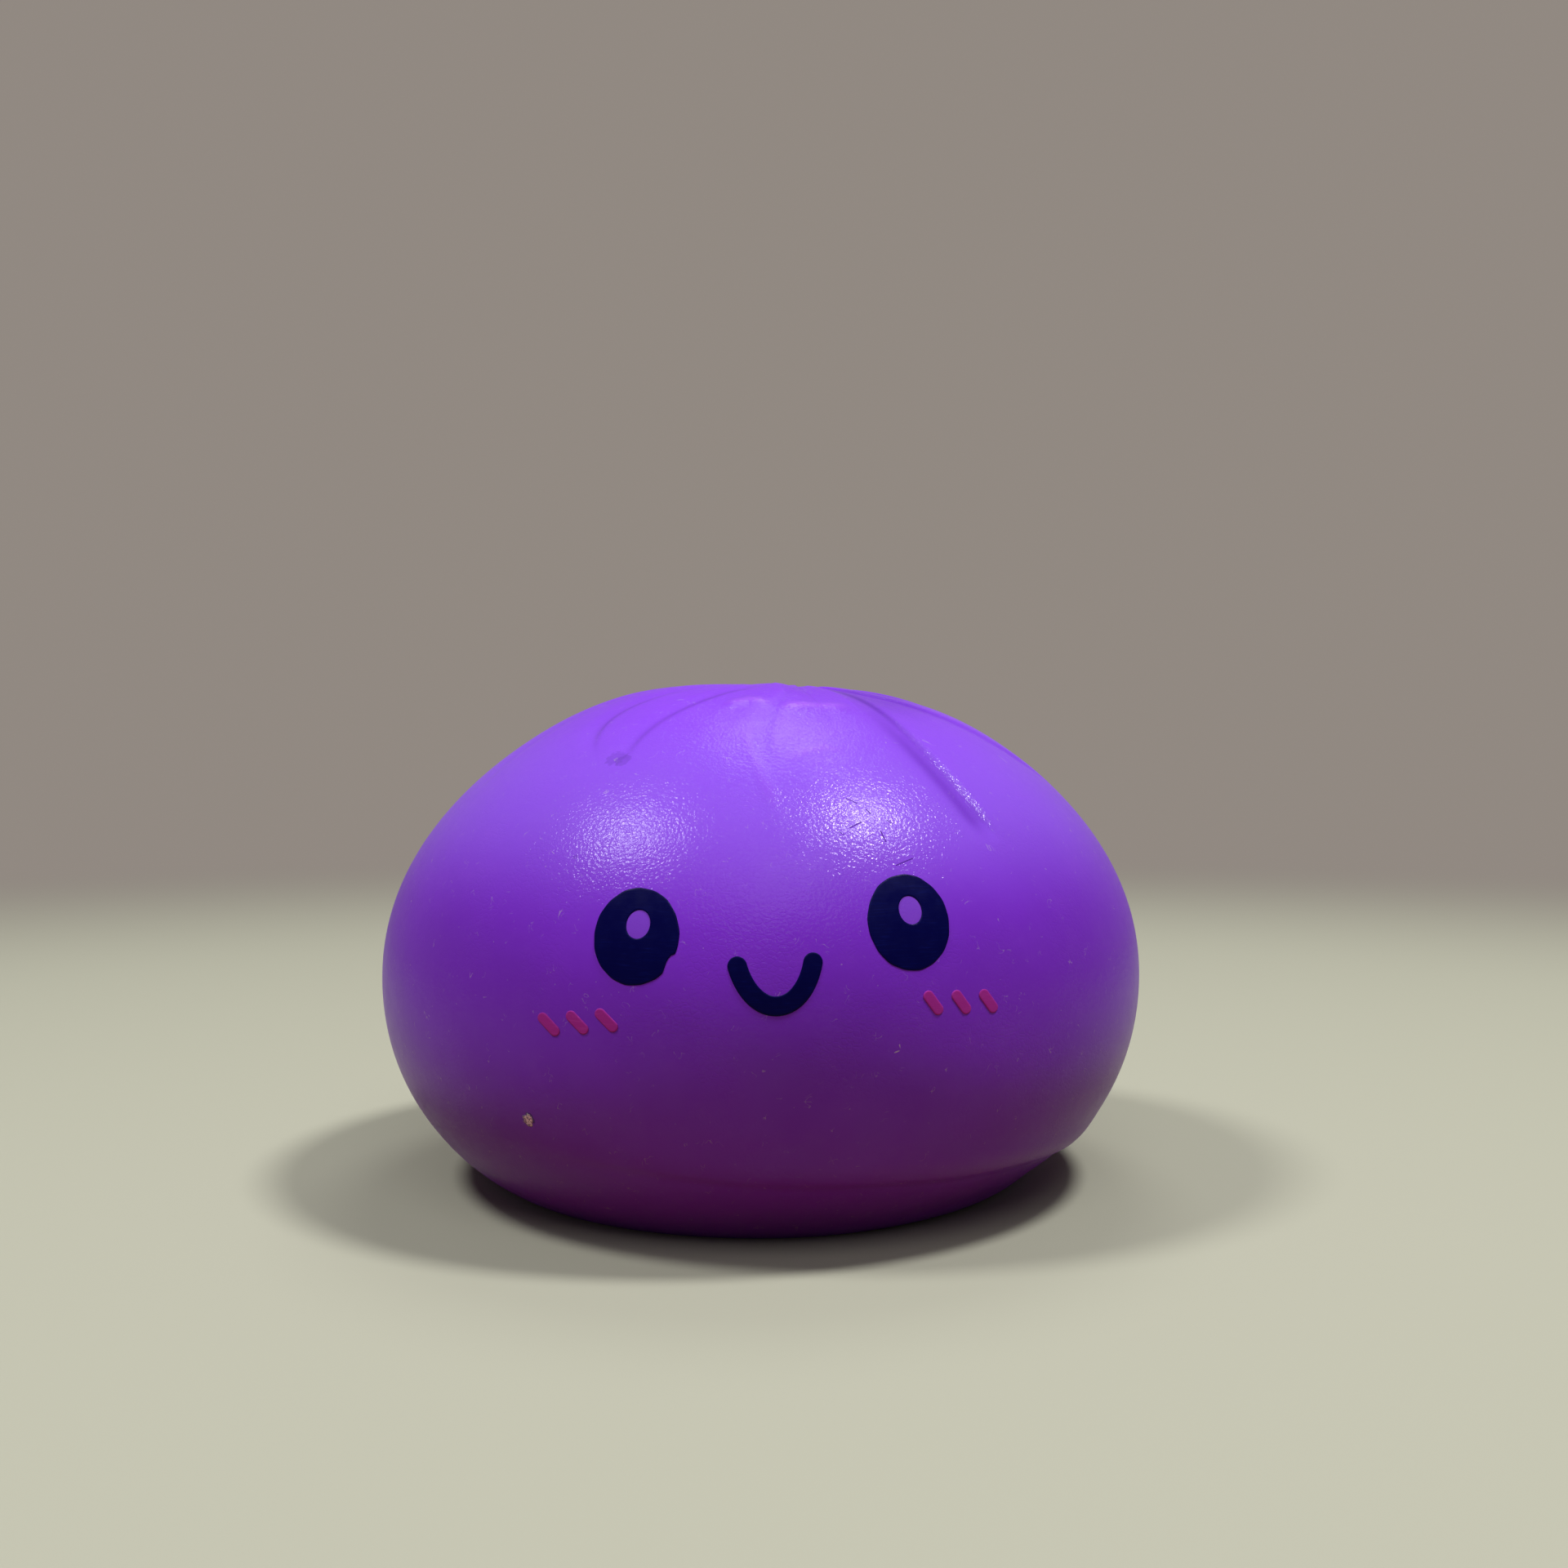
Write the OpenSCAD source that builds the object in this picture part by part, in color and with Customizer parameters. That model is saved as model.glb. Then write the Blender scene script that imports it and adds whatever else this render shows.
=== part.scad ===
// Squeeze ball in the shape of a steamed bun.
// A soft moulded skin holds a dough filling. It is filled through a neck in the underside,
// which a push-in plug and a glued disc close. A small face is printed on the front.
// Millimetres, +Z up. The origin is the middle of the underside, and the face looks along -Y.

/* [Body] */
// Width of the body at its widest ring
body_w = 150; // [120:1:190]
// Height of the body, from the table to the crown
body_h = 97; // [78:0.5:125]
// Height of the widest ring above the table
widest_z = 40; // [33:0.5:48]
// Width of the flat that the body rests on
base_w = 102; // [84:1:108]
// Thickness of the skin round the sides and the crown
skin_t = 2.6; // [1.8:0.1:4]
// Thickness of the skin's floor
floor_t = 4.6; // [3.8:0.1:7]

/* [Body shape] */
// How far the crown reaches out level, as a share of the half width
crown_level = 0.49; // [0.38:0.01:0.58]
// Where the crown starts to bend down, as a share of the half width
crown_bend = 0.2; // [0.14:0.01:0.35]
// How full the shoulder is, as a share of the height above the widest ring
shoulder_full = 0.82; // [0.65:0.01:0.9]
// How upright the belly is below the widest ring, as a share of the height below it
belly_upright = 0.73; // [0.3:0.01:0.8]
// How softly the belly rolls into the base
base_roll = 0.5; // [0.3:0.1:5]

/* [Pleats] */
// Number of pleats round the crown
pleat_count = 16; // [8:1:18]
// Width of the round tool shape that presses one pleat line
pleat_w = 5; // [3:0.1:6]
// Depth of a pleat line at its middle
pleat_depth = 0.9; // [0.4:0.1:1.2]
// Distance from the middle of the crown to where the pleat lines start
pleat_start = 15; // [13:0.5:20]
// Distance from the middle of the crown to where the pleat lines fade out
pleat_end = 50; // [35:1:56]
// How far the pleat lines miss the middle of the crown, which gives the swirl
pleat_swirl = 3; // [0:0.5:5]

/* [Crown] */
// Width of the pit where the pleats gather
pit_w = 20; // [16:0.5:24]
// Depth of that pit
pit_depth = 4; // [2.5:0.1:5]
// Width of the gathered knot in the pit
knot_w = 11; // [7:0.5:13]
// Height of the gathered knot
knot_h = 3.6; // [2:0.1:4.5]
// Roundness of the knot's rim
knot_rim = 1.6; // [0.8:0.1:1.9]
// Depth of the dimple in the knot's top
knot_dimple = 1.1; // [0.4:0.1:1.5]

/* [Filler neck and plug] */
// Width of the filling hole
hole_w = 10; // [7:0.1:12]
// Wall of the neck round the filling hole
neck_t = 3.2; // [2.4:0.1:4]
// Height of the neck above the floor of the skin
neck_h = 5; // [3.5:0.1:8]
// Clearance all round between the plug and its hole
plug_gap = 0.05; // [0.02:0.01:0.1]
// Width of the plug's head
plug_head_w = 17; // [14:0.5:18]
// Thickness of the plug's head
plug_head_t = 1.4; // [1:0.1:1.6]
// Width of the barb at the plug's inner end
barb_w = 12.4; // [12.2:0.1:14]
// Width of the barb's tip
barb_tip_w = 6; // [3:0.1:6.5]
// Height of the barb
barb_h = 3.5; // [2.5:0.1:5]
// Width of the glued disc over the plug
seal_w = 26; // [22:0.5:30]
// Thickness of the glued disc
seal_t = 0.6; // [0.4:0.1:0.8]
// Height of the disc above the table
seal_lift = 0.6; // [0.4:0.1:1]
// Width of the shallow dish in the underside
dish_w = 60; // [40:1:68]
// Clearance between the filling and everything that encloses it
fill_gap = 0.1; // [0.05:0.01:0.2]

/* [Printed face] */
// Thickness of the ink
ink_t = 0.15; // [0.1:0.01:0.3]
// Clearance between the ink and the skin
ink_gap = 0.02; // [0.01:0.01:0.05]
// Tilt of the whole print: its right side is higher when this is more than 0
face_roll = 2.7; // [-5:0.1:5]
// Height of the middle of the face
face_z = 49; // [44:0.5:54]
// Distance between the middles of the eyes
eye_spacing = 43.6; // [34:0.1:50]
// Height of the eyes above the middle of the face
eye_rise = 6.1; // [3:0.1:10]
// Width of an eye, across its oval
eye_w = 13.4; // [9:0.1:16]
// Height of an eye, along its oval
eye_h = 15.2; // [10:0.1:18]
// Lean of each eye's top towards the middle
eye_lean = 22; // [0:1:30]
// Width of the bare spot in an eye
glint_w = 3.7; // [2:0.1:5]
// Height of the bare spot in an eye
glint_h = 4.5; // [2.5:0.1:6]
// Height of the bare spot above the middle of the eye
glint_rise = 1.9; // [0:0.1:3]
// How far the bare spot is right of the middle of the eye
glint_shift = 0.3; // [-1:0.1:1]
// Distance between the ends of the mouth
mouth_w = 11.9; // [8:0.1:16]
// Drop from the ends of the mouth to its lowest point
mouth_drop = 6.4; // [4:0.1:9]
// Height of the mouth's ends above the middle of the face
mouth_rise = 1; // [0:0.1:4]
// How far round its oval the mouth runs to either side, in degrees
mouth_arc = 70; // [30:5:90]
// Thickness of the mouth's stroke
mouth_t = 3.1; // [1.5:0.1:4]
// Distance from the middle of the face to the middle of a cheek's strokes
blush_out = 30.8; // [27:0.1:36]
// Drop from the middle of the face to the strokes
blush_drop = 7.2; // [4:0.1:10]
// How far both cheeks are right of the middle of the face
blush_shift = -1.1; // [-2:0.1:2]
// Degrees by which each cheek's row of strokes droops outwards
blush_fan = 5.2; // [0:0.1:10]
// Distance between two strokes
blush_pitch = 4.8; // [3.4:0.1:6]
// Length of a stroke between the middles of its round ends
blush_l = 2.7; // [2:0.1:4]
// Thickness of a stroke
blush_t = 1.8; // [1:0.1:2.2]
// Slope of a stroke, down to the right, from its row
blush_slope = 51.5; // [30:0.5:60]

/* [Hidden] */
$fn = 96;
small_fn = 24;       // sides of a small round edge
skin_colour = "darkviolet";
navy_ink = "midnightblue";
red_ink = "crimson";

half_w = body_w / 2;
upper_h = body_h - widest_z;
base_r = base_w / 2;
crown_steps = 22;    // straight steps along the outline above the widest ring
belly_steps = 14;    // and below it
heading_step = 0.01; // share of a curve over which its heading is taken
halvings = 24;       // how often an interval is halved to find a point on the crown
eps = 0.01;          // overlap of two shapes that are joined
below = 1;           // how far a cut runs past the face it opens

// The neck stands on the floor of the skin, and the plug goes up through both.
seal_recess_z = seal_lift + seal_t;
head_recess_z = seal_recess_z + plug_head_t;
neck_top_z = floor_t + neck_h;
neck_r = hole_w / 2 + neck_t;
shank_r = hole_w / 2 - plug_gap;
head_recess_r = plug_head_w / 2 + plug_gap;
seal_recess_r = seal_w / 2 + plug_gap;
dish_depth = seal_lift;
barb_top_z = neck_top_z + plug_gap + barb_h;

// The pit at the crown has a boss under it, so that the skin stays as thick there.
pit_r = pit_w / 2;
pit_floor_z = body_h - pit_depth;
boss_r = pit_r + skin_t;
boss_z = pit_floor_z - skin_t;

// A point at share t of a smooth curve that leaves the first of its control points
// for the second and reaches the last from the one before it.
function curve_at(pts, t) =
    len(pts) == 1 ? pts[0]
    : curve_at([for (i = [0 : len(pts) - 2]) pts[i] * (1 - t) + pts[i + 1] * t], t);

crown_line = [[0, body_h], [crown_level * half_w, body_h], [crown_bend * half_w, body_h],
              [half_w, widest_z + shoulder_full * upper_h], [half_w, widest_z]];
belly_line = [[half_w, widest_z], [half_w, widest_z * (1 - belly_upright)],
              [base_r + base_roll, 0], [base_r, 0]];

// The two halves of the outline, and the whole of it, moved outwards by some distance.
function moved(line, t, out) =
    let (a = curve_at(line, max(t - heading_step, 0)), b = curve_at(line, min(t + heading_step, 1)),
         d = (b - a) / norm(b - a))
    curve_at(line, t) + out * [-d[1], d[0]];
function crown_pts(out) =
    [for (i = [0 : crown_steps]) moved(crown_line, i / crown_steps, out)];
function belly_pts(out) =
    [for (i = [1 : belly_steps]) moved(belly_line, i / belly_steps, out)];

// Where on the crown's line a distance from the middle lies, by halving the interval, and the
// point there, moved outwards by some distance.
function crown_t(r, lo = 0, hi = 1, n = halvings) =
    n == 0 ? (lo + hi) / 2
    : let (m = (lo + hi) / 2)
      curve_at(crown_line, m)[0] < r ? crown_t(r, m, hi, n - 1) : crown_t(r, lo, m, n - 1);
function on_crown(r, out = 0) = moved(crown_line, crown_t(r), out);

// The body turned from its outline: solid, and larger all round by out.
module turned_body(out = 0) {
    pts = concat(crown_pts(out), belly_pts(out));
    rotate_extrude()
        polygon(concat([[0, 0], [0, pts[0][1]]],
                       [for (i = [1 : len(pts) - 1]) [pts[i][0], max(pts[i][1], 0)]],
                       [[pts[len(pts) - 1][0], 0]]));
}

module disc(r, z0, z1) {
    translate([0, 0, z0]) cylinder(r = r, h = z1 - z0);
}

// The space inside the skin above its floor, smaller all round by gap. Points of its wall
// nearer the floor than corner_clear are left out, and its last straight step runs on to the floor.
corner_clear = 1;
module cavity(gap = 0) {
    floor_z = floor_t + gap;
    pts = concat(crown_pts(-skin_t - gap), belly_pts(-skin_t - gap));
    clear = [for (i = [1 : len(pts) - 1]) if (pts[i][1] > floor_z + corner_clear) i];
    last = clear[len(clear) - 1];
    step = pts[last + 1] - pts[last];
    foot = pts[last] + step * (pts[last][1] - floor_z) / -step[1];
    difference() {
        rotate_extrude()
            polygon(concat([[0, floor_z], [0, pts[0][1]]], [for (i = clear) pts[i]], [foot]));
        disc(boss_r + gap, boss_z - gap, body_h + below);
    }
}

// One pleat line: a round bar bent through three points over the crown, so that it
// presses deepest at its middle and runs out at both ends, where it stands clear of it.
end_clear = 0.2;
module pleat_bar() {
    bar_r = pleat_w / 2;
    lift = bar_r + end_clear;
    a = on_crown(pleat_start, lift);
    b = on_crown((pleat_start + pleat_end) / 2, bar_r - pleat_depth);
    c = on_crown(pleat_end, lift);
    // centre of the circle through the three points
    d = 2 * (a[0] * (b[1] - c[1]) + b[0] * (c[1] - a[1]) + c[0] * (a[1] - b[1]));
    ux = ((a * a) * (b[1] - c[1]) + (b * b) * (c[1] - a[1]) + (c * c) * (a[1] - b[1])) / d;
    uz = ((a * a) * (c[0] - b[0]) + (b * b) * (a[0] - c[0]) + (c * c) * (b[0] - a[0])) / d;
    bend_r = norm(a - [ux, uz]);
    from = atan2(c[1] - uz, c[0] - ux);
    sweep = atan2(a[1] - uz, a[0] - ux) - from;
    translate([ux, pleat_swirl, uz]) rotate([90, 0, 0]) rotate([0, 0, from])
        rotate_extrude(angle = sweep) translate([bend_r, 0]) circle(r = bar_r, $fn = small_fn);
}

module skin() {
    color(skin_colour) difference() {
        union() {
            difference() {
                turned_body();
                cavity();
            }
            disc(neck_r, floor_t - eps, neck_top_z);
        }
        disc(pit_r, pit_floor_z, body_h + below);
        disc(dish_w / 2, -below, dish_depth);
        disc(seal_recess_r, -below, seal_recess_z);
        disc(head_recess_r, -below, head_recess_z);
        disc(hole_w / 2, -below, neck_top_z + below);
        for (i = [0 : pleat_count - 1])
            rotate([0, 0, (i + 0.5) * 360 / pleat_count]) pleat_bar();
    }
}

// The gathered tip: a low button with a rounded rim and a dimple in the middle.
module crown_knot() {
    knot_r = knot_w / 2;
    color(skin_colour) translate([0, 0, pit_floor_z]) difference() {
        union() {
            cylinder(r = knot_r, h = knot_h - knot_rim);
            cylinder(r = knot_r - knot_rim, h = knot_h);
            translate([0, 0, knot_h - knot_rim]) rotate_extrude()
                translate([knot_r - knot_rim, 0]) circle(r = knot_rim, $fn = small_fn);
        }
        translate([0, 0, knot_h + knot_r - knot_dimple]) sphere(r = knot_r);
    }
}

module filling() {
    color("wheat") difference() {
        cavity(fill_gap);
        disc(neck_r + fill_gap, 0, neck_top_z + fill_gap);
        disc(barb_w / 2 + fill_gap, 0, barb_top_z + fill_gap);
    }
}

// Head, shank through the hole, and a barb that opens out above the neck.
module filler_plug() {
    color("white") {
        disc(plug_head_w / 2, seal_recess_z, head_recess_z);
        disc(shank_r, head_recess_z - eps, neck_top_z + plug_gap);
        translate([0, 0, neck_top_z + plug_gap])
            cylinder(r1 = barb_w / 2, r2 = barb_tip_w / 2, h = barb_h);
    }
}

module plug_seal() {
    color("gainsboro") disc(seal_w / 2, seal_lift, seal_recess_z);
}

// A thin film over the front of the body, cut to the outline drawn in the XZ plane.
module ink() {
    intersection() {
        translate([0, 0, face_z]) rotate([90, 0, 0]) linear_extrude(height = half_w + below)
            rotate([0, 0, face_roll]) children();
        difference() {
            turned_body(ink_gap + ink_t);
            turned_body(ink_gap);
        }
    }
}

oval_step = 10;      // degrees between two points of an oval
function oval(w, h) =
    [for (a = [0 : oval_step : 360 - oval_step]) [w / 2 * cos(a), h / 2 * sin(a)]];

// One eye. It leans towards the middle from the upright, although the row of eyes is
// turned. side is -1 on the left and 1 on the right.
module eye_print(side) {
    color(navy_ink) ink() translate([side * eye_spacing / 2, eye_rise])
        rotate([0, 0, -face_roll]) difference() {
            rotate([0, 0, side * eye_lean]) polygon(oval(eye_w, eye_h));
            translate([glint_shift, glint_rise]) rotate([0, 0, side * eye_lean])
                polygon(oval(glint_w, glint_h));
        }
}
module left_eye_print() eye_print(-1);
module right_eye_print() eye_print(1);

// The outline of a stroke of width w along pts: one side, a round end, back along the
// other side and the second round end.
end_step = 30;       // degrees between two points of a round end
function heading(pts, i) =
    let (d = pts[min(i + 1, len(pts) - 1)] - pts[max(i - 1, 0)]) atan2(d[1], d[0]);
function right_of(angle) = [sin(angle), -cos(angle)];
function stroke(pts, w) =
    let (last = len(pts) - 1, end = heading(pts, last), start = heading(pts, 0))
    concat([for (i = [0 : last]) pts[i] + w / 2 * right_of(heading(pts, i))],
           [for (a = [end_step - 90 : end_step : 90 - end_step])
                pts[last] + w / 2 * [cos(end + a), sin(end + a)]],
           [for (i = [last : -1 : 0]) pts[i] - w / 2 * right_of(heading(pts, i))],
           [for (a = [end_step - 90 : end_step : 90 - end_step])
                pts[0] - w / 2 * [cos(start + a), sin(start + a)]]);

// The mouth follows the lower part of an oval, mouth_arc to either side of its lowest point.
smile_steps = 8;     // steps along each half of the mouth
module mouth_print() {
    share = [for (i = [-smile_steps : smile_steps]) mouth_arc * i / smile_steps];
    smile = [for (u = share) [mouth_w / 2 * sin(u) / sin(mouth_arc),
        mouth_rise - mouth_drop * (cos(u) - cos(mouth_arc)) / (1 - cos(mouth_arc))]];
    color(navy_ink) ink() polygon(stroke(smile, mouth_t));
}

// One stroke of a cheek. side is -1 on the left, and place is -1, 0 or 1 from left to right.
module blush_print(side, place) {
    run = blush_l / 2 * [cos(blush_slope), -sin(blush_slope)];
    color(red_ink) ink() translate([side * blush_out + blush_shift, -blush_drop])
        rotate([0, 0, -side * blush_fan]) translate([place * blush_pitch, 0])
            polygon(stroke([-run, run], blush_t));
}
module left_blush_outer() blush_print(-1, -1);
module left_blush_middle() blush_print(-1, 0);
module left_blush_inner() blush_print(-1, 1);
module right_blush_inner() blush_print(1, -1);
module right_blush_middle() blush_print(1, 0);
module right_blush_outer() blush_print(1, 1);

skin();
crown_knot();
filling();
filler_plug();
plug_seal();
left_eye_print();
right_eye_print();
mouth_print();
left_blush_outer();
left_blush_middle();
left_blush_inner();
right_blush_inner();
right_blush_middle();
right_blush_outer();
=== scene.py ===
import math

import bpy
import numpy as np
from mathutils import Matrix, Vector


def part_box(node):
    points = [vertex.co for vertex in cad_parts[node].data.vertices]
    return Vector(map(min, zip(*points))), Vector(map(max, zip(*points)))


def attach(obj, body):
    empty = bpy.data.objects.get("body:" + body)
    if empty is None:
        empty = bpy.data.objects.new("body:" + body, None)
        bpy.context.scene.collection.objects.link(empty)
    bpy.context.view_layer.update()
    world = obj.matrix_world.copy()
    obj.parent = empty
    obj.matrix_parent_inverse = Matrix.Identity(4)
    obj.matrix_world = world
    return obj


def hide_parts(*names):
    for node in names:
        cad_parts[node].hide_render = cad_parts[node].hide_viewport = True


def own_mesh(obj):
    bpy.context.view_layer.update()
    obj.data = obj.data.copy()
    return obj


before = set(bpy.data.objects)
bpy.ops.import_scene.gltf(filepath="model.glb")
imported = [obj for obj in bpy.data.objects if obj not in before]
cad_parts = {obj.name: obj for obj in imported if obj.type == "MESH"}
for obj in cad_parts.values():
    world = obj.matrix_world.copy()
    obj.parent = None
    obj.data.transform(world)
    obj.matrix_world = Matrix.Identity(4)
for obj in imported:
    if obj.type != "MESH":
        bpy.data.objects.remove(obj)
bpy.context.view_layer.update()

mm = 0.001          # shapes are worked out in millimetres and stored in metres


def boxOf(nodeName):
    # lowest and highest corner of a CAD node, in millimetres
    return [np.array(corner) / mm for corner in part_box(nodeName)]


def middleOf(nodeName):
    return sum(boxOf(nodeName)) / 2


skinHigh = boxOf("skin")[1]
knotLow, knotHigh = boxOf("crown_knot")
sealLow, sealHigh = boxOf("plug_seal")
plugLow, plugHigh = boxOf("filler_plug")


# Camera

view = dict(
    distance=319.2,      # from the camera to the ball's axis, mm
    height=82.7,
    aside=4.48,          # how far right of the axis it stands
    heading=2.57,        # degrees that it is turned round the ball from straight in front
    lookDown=1.0,
    lens=36.06,
    sensor=36,
    nearest=0.01,        # metres
)


def makeCamera():
    data = bpy.data.cameras.new("camera")
    data.sensor_width = view["sensor"]
    data.lens = view["lens"]
    data.clip_start = view["nearest"]
    camera = bpy.data.objects.new("camera", data)
    bpy.context.scene.collection.objects.link(camera)
    turn = -math.radians(view["heading"])
    x, y = view["aside"], -view["distance"]
    camera.location = Vector((x * math.cos(turn) - y * math.sin(turn),
                              x * math.sin(turn) + y * math.cos(turn), view["height"])) * mm
    camera.rotation_euler = (math.radians(90 - view["lookDown"]), 0, turn)
    bpy.context.scene.camera = camera


makeCamera()
print("camera placed")


# Small helpers for shapes

def smoothStep(low, high, x):
    # 0 below low, 1 above high, and 3t^2 - 2t^3 between them
    t = np.clip((x - low) / (high - low), 0, 1)
    return t * t * (3 - 2 * t)


def window(x, opens, opened, closing, closed):
    # 0 up to opens, 1 from opened to closing and 0 past closed
    return smoothStep(opens, opened, x) * (1 - smoothStep(closing, closed, x))


def bell(x, middle, width):
    # e to the power of minus ((x - middle) / width) squared
    return np.exp(-((x - middle) / width) ** 2)


def bezier(points, t):
    # every point slides towards the next by share t, again and again, until one is left
    layer = [np.array(p, float)[None, :] * np.ones_like(t)[:, None] for p in points]
    while len(layer) > 1:
        layer = [a + (b - a) * t[:, None] for a, b in zip(layer, layer[1:])]
    return layer[0]


def roundCorners(points, radius, steps=5):
    # each inner corner becomes a curve that starts and ends radius away from it, or at
    # 0.45 of the shorter side, and leans on the corner
    points = np.array(points, float)
    done = [points[:1]]
    for before, corner, after in zip(points, points[1:], points[2:]):
        sides = np.linalg.norm([before - corner, after - corner], axis=1)
        reach = min(radius, 0.45 * sides.min())
        start = corner + (before - corner) / sides[0] * reach
        end = corner + (after - corner) / sides[1] * reach
        done.append(bezier([start, corner, end], np.linspace(0, 1, steps)))
    done.append(points[-1:])
    return np.concatenate(done)


def spaced(points, gap):
    # the same line with points added so that none are further apart than gap
    lengths = np.linalg.norm(np.diff(points, axis=0), axis=1)
    pieces = [a + (b - a) * np.linspace(0, 1, max(int(n / gap), 1), endpoint=False)[:, None]
              for a, b, n in zip(points, points[1:], lengths)]
    return np.concatenate(pieces + [points[-1:]])


def gridMesh(name, points, ring=False):
    # points[i, j] is row i, column j, and the columns close on themselves. With ring the
    # last row joins the first. Without it the first and last rows are each one point, a pole.
    rows, cols = points.shape[:2]
    if ring:
        verts = points.reshape(-1, 3)
        index = np.arange(rows * cols).reshape(rows, cols)
        index = np.vstack([index, index[:1]])
    else:
        verts = np.concatenate([points[0, :1], points[1:-1].reshape(-1, 3), points[-1, :1]])
        index = 1 + np.arange((rows - 2) * cols).reshape(rows - 2, cols)
    index = np.hstack([index, index[:, :1]])
    quads = np.stack([index[:-1, :-1], index[1:, :-1], index[1:, 1:], index[:-1, 1:]], -1)
    quads = quads.reshape(-1, 4)
    fans = np.zeros((0, 3), int)
    if not ring:
        first, last = np.zeros(cols, int), np.full(cols, len(verts) - 1)
        fans = np.concatenate([np.stack([first, index[0, :-1], index[0, 1:]], -1),
                               np.stack([last, index[-1, 1:], index[-1, :-1]], -1)])
    # six times the volume inside: the sum of a . (b x c) over the triangles
    halves = np.concatenate([quads[:, [0, 1, 2]], quads[:, [0, 2, 3]], fans])
    a, b, c = (verts[halves[:, k]] for k in range(3))
    if np.einsum("ij,ij->i", a, np.cross(b, c)).sum() < 0:
        quads, fans = quads[:, ::-1], fans[:, ::-1]
    mesh = bpy.data.meshes.new(name)
    mesh.from_pydata((verts * mm).tolist(), [], quads.tolist() + fans.tolist())
    mesh.shade_smooth()
    return mesh


def storeValues(mesh, name, values):
    # values on the same grid, in the order that gridMesh gives its points
    values = np.concatenate([values[0, :1], values[1:-1].ravel(), values[-1, :1]])
    mesh.attributes.new(name, "FLOAT", "POINT").data.foreach_set("value", values)


def turned(outline, azimuths):
    # an outline of (radius, height) carried round the axis; azimuth 0 faces -Y, 90 faces +X
    angle = np.radians(azimuths)[None, :]
    radius, height = outline[:, 0, None], outline[:, 1, None]
    return np.stack([radius * np.sin(angle), -radius * np.cos(angle), height + 0 * angle], -1)


def addPiece(name, mesh, body, replaced, material):
    piece = bpy.data.objects.new(name, mesh)
    bpy.context.scene.collection.objects.link(piece)
    mesh.materials.append(material)
    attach(piece, body)
    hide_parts(replaced)
    return piece


# Small helpers for materials

current = dict(tree=None)       # the node tree that new nodes and links go into


def nodeOf(tree, kind):
    # work goes on in this tree, and this is its node of that kind
    current["tree"] = tree
    return next(n for n in tree.nodes if n.type == kind)


def startMaterial(name):
    material = bpy.data.materials.new(name)
    material.use_nodes = True
    return material, nodeOf(material.node_tree, "BSDF_PRINCIPLED")


def link(output, socket):
    current["tree"].links.new(output, socket)


def addNode(kind, settings=None, inputs=None):
    node = current["tree"].nodes.new(kind)
    for key, value in (settings or {}).items():
        setattr(node, key, value)
    for key, value in (inputs or {}).items():
        if isinstance(value, bpy.types.NodeSocket):
            link(value, node.inputs[key])
        else:
            node.inputs[key].default_value = value
    return node


def calc(operation, a, b=0.0, clamp=False):
    node = addNode("ShaderNodeMath", {"operation": operation, "use_clamp": clamp},
                   {0: a, 1: b})
    return node.outputs[0]


def plus(a, b, clamp=False):
    return calc("ADD", a, b, clamp)


def times(a, b, clamp=False):
    return calc("MULTIPLY", a, b, clamp)


def between(value, low, high, toLow=0.0, toHigh=1.0):
    # value between low and high becomes a smooth share between toLow and toHigh
    node = addNode("ShaderNodeMapRange", {"interpolation_type": "SMOOTHSTEP"},
                   {"Value": value, "From Min": low, "From Max": high,
                    "To Min": toLow, "To Max": toHigh})
    return node.outputs[0]


def blendColor(share, a, b):
    # from color a at share 0 to color b at share 1
    node = addNode("ShaderNodeMix", {"data_type": "RGBA"}, {0: share, 6: a, 7: b})
    return node.outputs[2]


def covered(color, mask, share, over):
    # the color under a mark that covers share of it with its own
    return blendColor(times(mask, share), color, over)


def paint(shader, color, rough):
    link(color, shader.inputs["Base Color"])
    link(rough, shader.inputs["Roughness"])


def setSockets(shader, values):
    # numbers that are the same all over a surface
    for name, value in values.items():
        shader.inputs[name].default_value = value


def millimetres():
    # where a point of the piece lies, in millimetres
    return scaled(addNode("ShaderNodeTexCoord").outputs["Object"], 1 / mm)


def stored(name):
    node = addNode("ShaderNodeAttribute", {"attribute_name": name})
    return node.outputs["Fac"]


def scaled(a, share):
    node = addNode("ShaderNodeVectorMath", {"operation": "SCALE"}, {0: a, "Scale": share})
    return node.outputs[0]


def noise(place, size, detail=2.0, rough=0.5, warp=0.0):
    # cloudy pattern whose patches are about size millimetres across
    node = addNode("ShaderNodeTexNoise", None,
                   {"Vector": place, "Scale": 1 / size, "Detail": detail,
                    "Roughness": rough, "Distortion": warp})
    return node.outputs["Fac"]


def stretched(place, scale):
    node = addNode("ShaderNodeMapping", None, {"Vector": place, "Scale": scale})
    return node.outputs[0]


def cells(place, scale, feature="F1"):
    # how far a point is from the nearest cell's middle or edge, in cells
    node = addNode("ShaderNodeTexVoronoi", {"feature": feature},
                   {"Vector": place, "Scale": scale, "Randomness": 1.0})
    return node.outputs["Distance"]


def vector(operation, a, b):
    # b may be a point of numbers
    return addNode("ShaderNodeVectorMath", {"operation": operation},
                   {0: a, 1: b if isinstance(b, bpy.types.NodeSocket)
                    else tuple(float(v) for v in b)}).outputs


def bumped(height, shader, socket="Normal"):
    # height is in millimetres
    node = addNode("ShaderNodeBump", None,
                   {"Height": height, "Distance": mm, "Strength": 1.0})
    link(node.outputs[0], shader.inputs[socket])


def spotMask(place, middle, size, ragged):
    # 1 inside a spot of that size whose edge wanders by ragged, and 0 outside it
    gap = vector("DISTANCE", place, middle)["Value"]
    edge = plus(gap, times(ragged, size / 5))
    return between(edge, size * 0.5, size * 0.38)


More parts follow.
